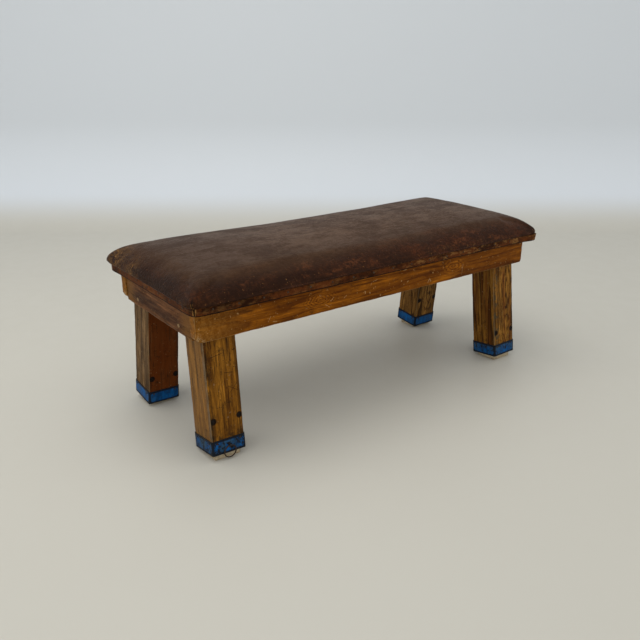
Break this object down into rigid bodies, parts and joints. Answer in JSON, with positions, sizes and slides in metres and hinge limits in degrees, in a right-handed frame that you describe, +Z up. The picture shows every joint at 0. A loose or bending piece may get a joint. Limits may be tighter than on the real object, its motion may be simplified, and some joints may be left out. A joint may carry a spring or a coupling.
{
  "type": "gymnastics bench",
  "caption": "Low gymnasium bench with a stuffed leather top, wooden rail frame and splayed square posts in painted shoe bands.",
  "frame": {"origin": "on the floor under the middle of the bench", "axes": "+X along the bench's length to the right, +Y to the back, +Z up"},
  "size_m": [1.198, 0.494, 0.472],
  "materials": {
    "varnished_beech": "worn satin varnish",
    "varnished_pine": "worn satin varnish",
    "plain_wood": "bare",
    "pale_wood": "bare",
    "hide": "worn satin",
    "strip_leather": "scuffed",
    "horsehair": "matt",
    "blue_paint": "worn gloss paint",
    "dark_iron": "dull, oxidised",
    "worn_steel": "rubbed"
  },
  "bodies": {
    "bench": {"long_rail_front": "varnished_beech", "long_rail_back": "varnished_beech", "end_rail_left": "varnished_beech", "end_rail_right": "varnished_beech", "leg_front_left": "varnished_pine", "leg_band_front_left": "blue_paint", "foot_pad_front_left": "pale_wood", "leg_back_left": "varnished_pine", "leg_band_back_left": "blue_paint", "foot_pad_back_left": "pale_wood", "leg_front_right": "varnished_pine", "leg_band_front_right": "blue_paint", "foot_pad_front_right": "pale_wood", "leg_back_right": "varnished_pine", "leg_band_back_right": "blue_paint", "foot_pad_back_right": "pale_wood", "bearer_left": "plain_wood", "bearer_middle": "plain_wood", "bearer_right": "plain_wood", "deck_board_1": "plain_wood", "deck_board_2": "plain_wood", "deck_board_3": "plain_wood", "leg_dowels": "plain_wood", "corner_dowels": "plain_wood", "bearer_dowels": "plain_wood", "end_rail_screws": "worn_steel", "bearer_screws": "worn_steel", "deck_screws": "worn_steel", "pad_screws": "worn_steel", "leg_pins": "dark_iron", "band_nails": "dark_iron", "ring_staple": "dark_iron", "edge_strip_front": "strip_leather", "strip_tacks_front": "dark_iron", "edge_strip_back": "strip_leather", "strip_tacks_back": "dark_iron", "edge_strip_left": "strip_leather", "strip_tacks_left": "dark_iron", "edge_strip_right": "strip_leather", "strip_tacks_right": "dark_iron", "leather_cover": "hide", "padding": "horsehair"},
    "ring": {"ring": "dark_iron"}
  },
  "joints": [
    {"name": "ring_swing", "type": "hinge", "parent": "bench", "child": "ring", "pos_m": [-0.51071, -0.23341, 0.03765], "axis": [-1, 0, 0], "range_deg": [0, 165]}
  ]
}
